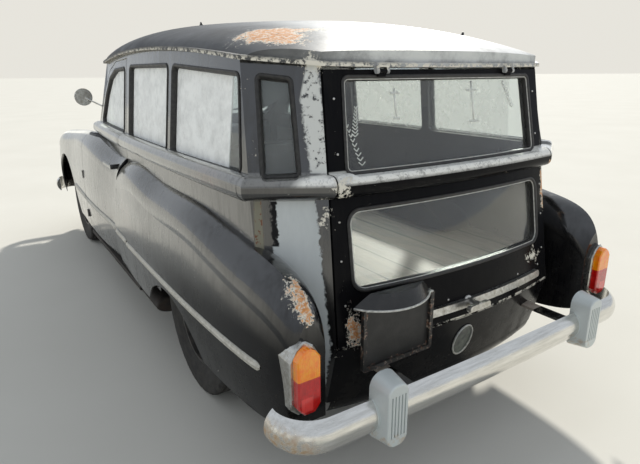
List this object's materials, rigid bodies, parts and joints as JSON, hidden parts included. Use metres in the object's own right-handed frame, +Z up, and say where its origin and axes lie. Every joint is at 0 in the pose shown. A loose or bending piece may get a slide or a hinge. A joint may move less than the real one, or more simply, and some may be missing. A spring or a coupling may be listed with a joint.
{
  "type": "station wagon",
  "caption": "Two-door station wagon with long glazed load space, separate front and rear fenders, top-hinged tailgate, bonnet, steered front wheels and overriders on its bumpers.",
  "frame": {"origin": "on the floor, below the middle of the car's box", "axes": "+Y towards the rear of the car, +X towards its left side, +Z up"},
  "size_m": [1.67, 4.46, 1.612],
  "materials": {
    "black_paint": "weathered gloss",
    "underbody": "matt",
    "deck_board": "worn",
    "bright_trim": "worn polish",
    "dull_steel": "rusted",
    "window_glass": "clear",
    "lamp_glass": "ribbed",
    "lamp_lens": "clear coloured",
    "seat_cover": "worn",
    "dash_paint": "satin",
    "engine_iron": "oily",
    "chassis_steel": "matt",
    "wheel_rim_plastic": "satin",
    "tyre_rubber": "worn",
    "wheel_paint": "matt"
  },
  "bodies": {
    "body": {"floor_pan": "underbody", "load_deck": "deck_board", "body_side_left": "black_paint", "body_side_right": "black_paint", "rear_fenders": "black_paint", "front_fenders": "black_paint", "roof": "black_paint", "cowl": "black_paint", "nose_panel": "black_paint", "grille": "bright_trim", "lower_rear_panel": "black_paint", "windscreen": "window_glass", "side_glass": "window_glass", "front_bumper": "bright_trim", "rear_bumper": "bright_trim", "headlamps": "lamp_glass", "tail_lamp_housings": "bright_trim", "tail_lamp_lenses": "lamp_lens", "front_seat": "seat_cover", "dashboard": "dash_paint", "engine_block": "engine_iron", "front_axle": "chassis_steel", "rear_axle": "chassis_steel", "exhaust": "chassis_steel", "round_mirror": "bright_trim"},
    "door_left": {"door_left": "black_paint", "door_glass_left": "window_glass"},
    "door_right": {"door_right": "black_paint", "door_glass_right": "window_glass"},
    "tailgate": {"tailgate": "black_paint", "tailgate_glass": "window_glass", "plate_holder": "dull_steel", "tailgate_handle": "bright_trim"},
    "bonnet": {"bonnet": "black_paint"},
    "knuckle_left": {"knuckle_left": "chassis_steel"},
    "knuckle_right": {"knuckle_right": "chassis_steel"},
    "steering_wheel": {"steering_wheel": "wheel_rim_plastic"},
    "wheel_front_left": {"tyre_front_left": "tyre_rubber", "wheel_front_left": "wheel_paint"},
    "wheel_front_right": {"tyre_front_right": "tyre_rubber", "wheel_front_right": "wheel_paint"},
    "wheel_rear_left": {"tyre_rear_left": "tyre_rubber", "wheel_rear_left": "wheel_paint"},
    "wheel_rear_right": {"tyre_rear_right": "tyre_rubber", "wheel_rear_right": "wheel_paint"}
  },
  "joints": [
    {"name": "door_left_hinge", "type": "hinge", "parent": "body", "child": "door_left", "pos_m": [0.812, -0.6025, 0.6], "axis": [0, 0, -1], "range_deg": [0, 65]},
    {"name": "door_right_hinge", "type": "hinge", "parent": "body", "child": "door_right", "pos_m": [-0.812, -0.6025, 0.6], "axis": [0, 0, 1], "range_deg": [0, 65]},
    {"name": "tailgate_hinge", "type": "hinge", "parent": "body", "child": "tailgate", "pos_m": [0, 1.879, 1.357], "axis": [1, 0, 0], "range_deg": [0, 80]},
    {"name": "bonnet_hinge", "type": "hinge", "parent": "body", "child": "bonnet", "pos_m": [0, -0.7955, 1.02307], "axis": [-1, 0, 0], "range_deg": [0, 50]},
    {"name": "steer_left", "type": "hinge", "parent": "body", "child": "knuckle_left", "pos_m": [0.57, -1.495, 0.335], "axis": [0, 0, 1], "range_deg": [-30, 30]},
    {"name": "steer_right", "type": "hinge", "parent": "body", "child": "knuckle_right", "pos_m": [-0.57, -1.495, 0.335], "axis": [0, 0, 1], "range_deg": [-30, 30]},
    {"name": "steering_wheel_turn", "type": "hinge", "parent": "body", "child": "steering_wheel", "pos_m": [0.34, -0.262, 0.905], "axis": [0, 0.8829, 0.4695], "range_deg": [-360, 360]},
    {"name": "wheel_front_left_roll", "type": "hinge", "parent": "knuckle_left", "child": "wheel_front_left", "pos_m": [0.645, -1.495, 0.335], "axis": [1, 0, 0], "continuous": true},
    {"name": "wheel_front_right_roll", "type": "hinge", "parent": "knuckle_right", "child": "wheel_front_right", "pos_m": [-0.645, -1.495, 0.335], "axis": [1, 0, 0], "continuous": true},
    {"name": "wheel_rear_left_roll", "type": "hinge", "parent": "body", "child": "wheel_rear_left", "pos_m": [0.645, 1.155, 0.335], "axis": [1, 0, 0], "continuous": true},
    {"name": "wheel_rear_right_roll", "type": "hinge", "parent": "body", "child": "wheel_rear_right", "pos_m": [-0.645, 1.155, 0.335], "axis": [1, 0, 0], "continuous": true}
  ],
  "couplings": [
    {"joint": "steer_right", "follows": "steer_left", "ratio": 1},
    {"joint": "steering_wheel_turn", "follows": "steer_left", "ratio": 12}
  ]
}
